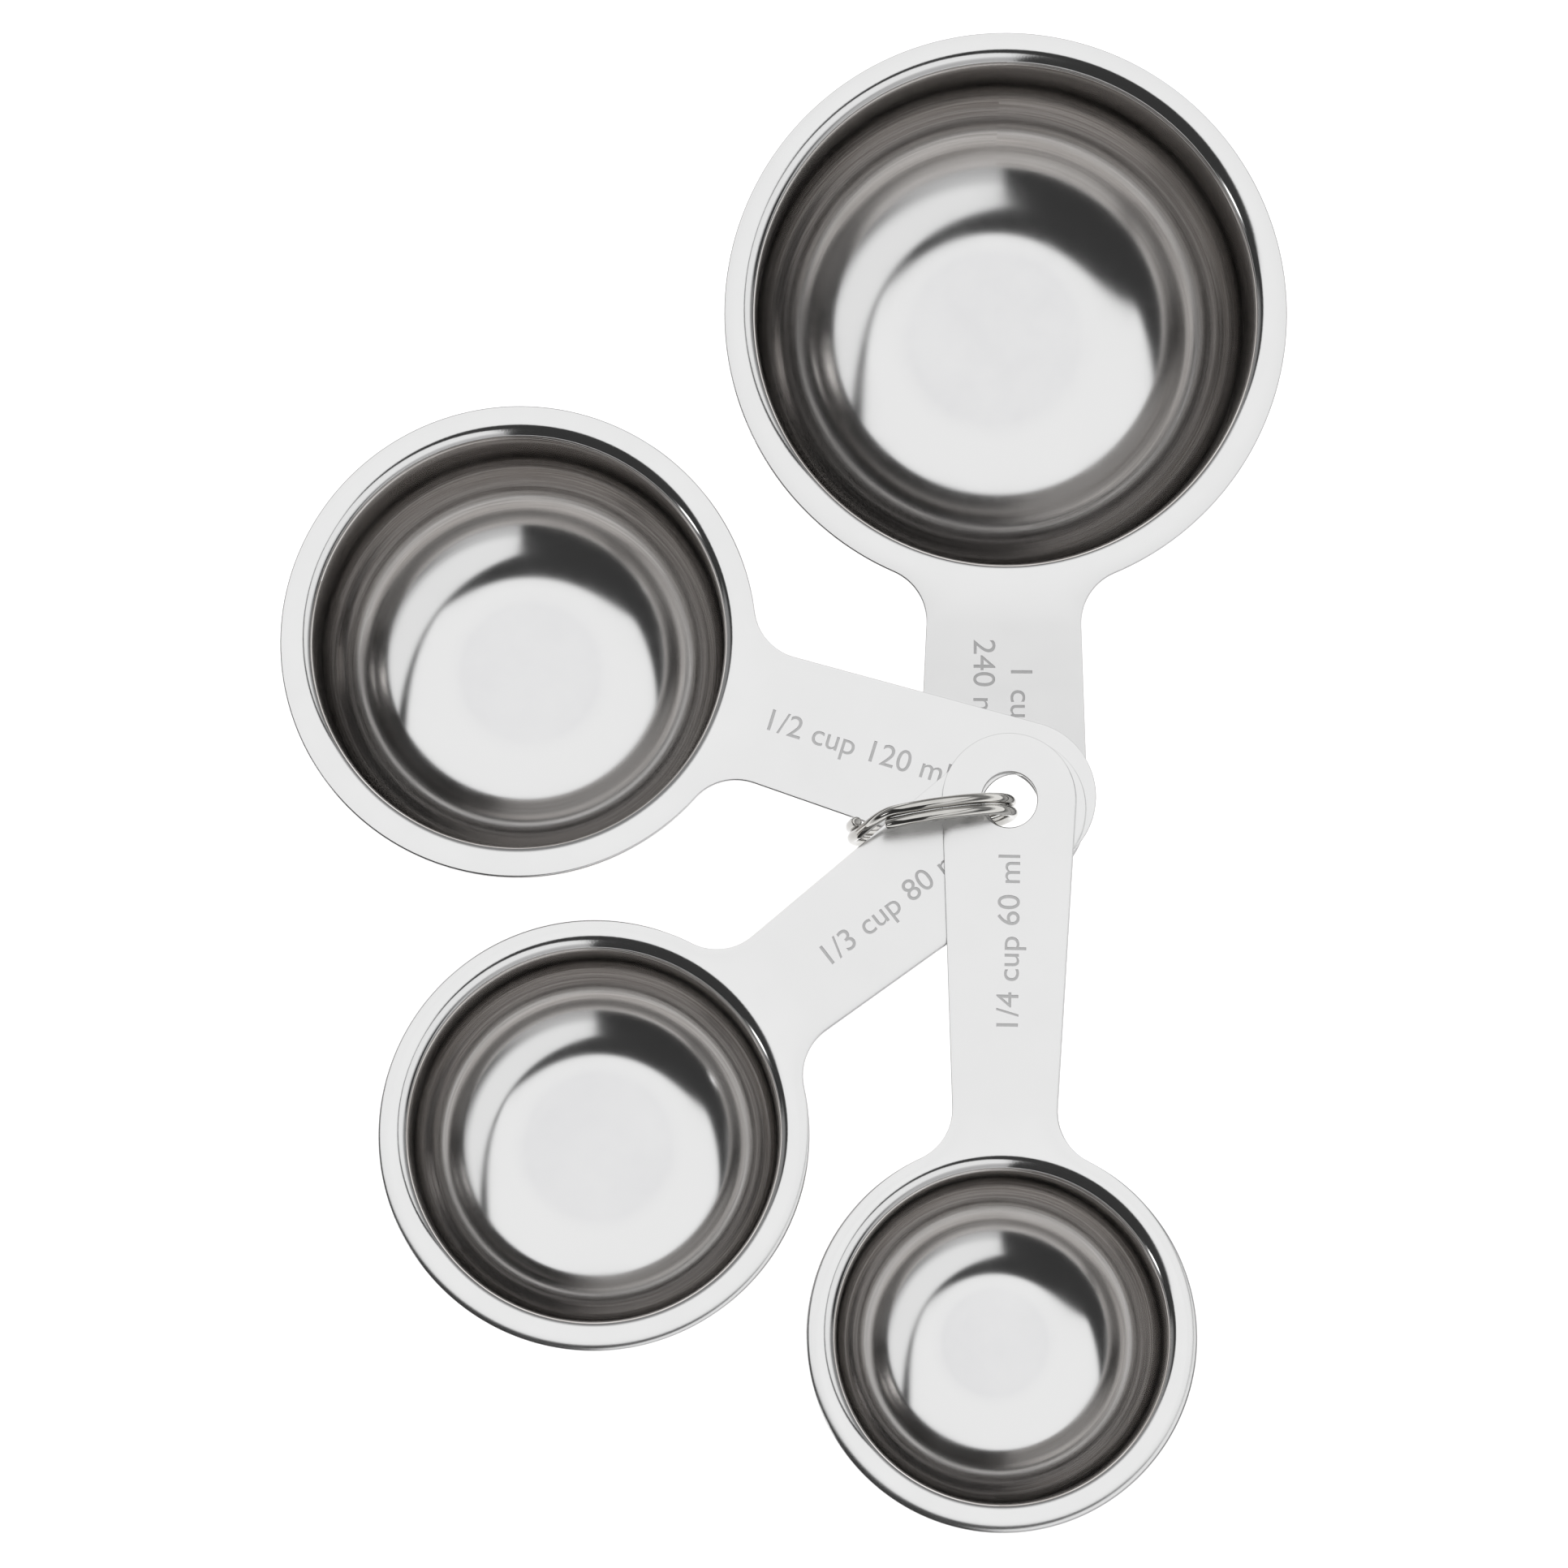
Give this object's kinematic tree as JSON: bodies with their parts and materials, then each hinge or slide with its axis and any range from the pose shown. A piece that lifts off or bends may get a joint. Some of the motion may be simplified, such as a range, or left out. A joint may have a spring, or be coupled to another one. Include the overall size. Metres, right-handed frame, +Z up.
{
  "type": "measuring cup set",
  "caption": "Stainless steel measuring cups in graded sizes, each a drawn round bowl in a flat tapered handle plate, fanned out on one split ring through the handle holes.",
  "frame": {"origin": "centre of the set's bounding box on the worktop it stands on", "axes": "+Z up from the worktop, +Y along the fan towards the largest cup, +X to the side away from the two middle cups"},
  "size_m": [0.1672, 0.2468, 0.0645],
  "materials": {
    "handle_steel": "satin",
    "bowl_steel": "polished with fine turning lines",
    "ring_nickel": "bright nickel plate"
  },
  "bodies": {
    "one_cup": {"one_cup_handle": "handle_steel", "one_cup_bowl": "bowl_steel"},
    "half_cup": {"half_cup_handle": "handle_steel", "half_cup_bowl": "bowl_steel"},
    "third_cup": {"third_cup_handle": "handle_steel", "third_cup_bowl": "bowl_steel"},
    "quarter_cup": {"quarter_cup_handle": "handle_steel", "quarter_cup_bowl": "bowl_steel"},
    "split_ring": {"split_ring": "ring_nickel"}
  },
  "joints": [
    {"name": "half_cup_fan", "type": "hinge", "parent": "one_cup", "child": "half_cup", "pos_m": [0.0393, -0.00255, 0.03996], "axis": [-0.0391, -0.1151, 0.9926], "range_deg": [-9, 1]},
    {"name": "third_cup_fan", "type": "hinge", "parent": "one_cup", "child": "third_cup", "pos_m": [0.03817, -0.00493, 0.04131], "axis": [-0.0175, -0.1219, 0.9924], "range_deg": [-1, 6]},
    {"name": "quarter_cup_fan", "type": "hinge", "parent": "one_cup", "child": "quarter_cup", "pos_m": [0.03714, -0.00399, 0.04271], "axis": [-0.0175, -0.1219, 0.9924], "range_deg": [0, 122]},
    {"name": "ring_turn", "type": "hinge", "parent": "one_cup", "child": "split_ring", "pos_m": [0.02471, -0.00657, 0.03865], "axis": [0.1543, -0.9833, -0.0969], "continuous": true}
  ]
}
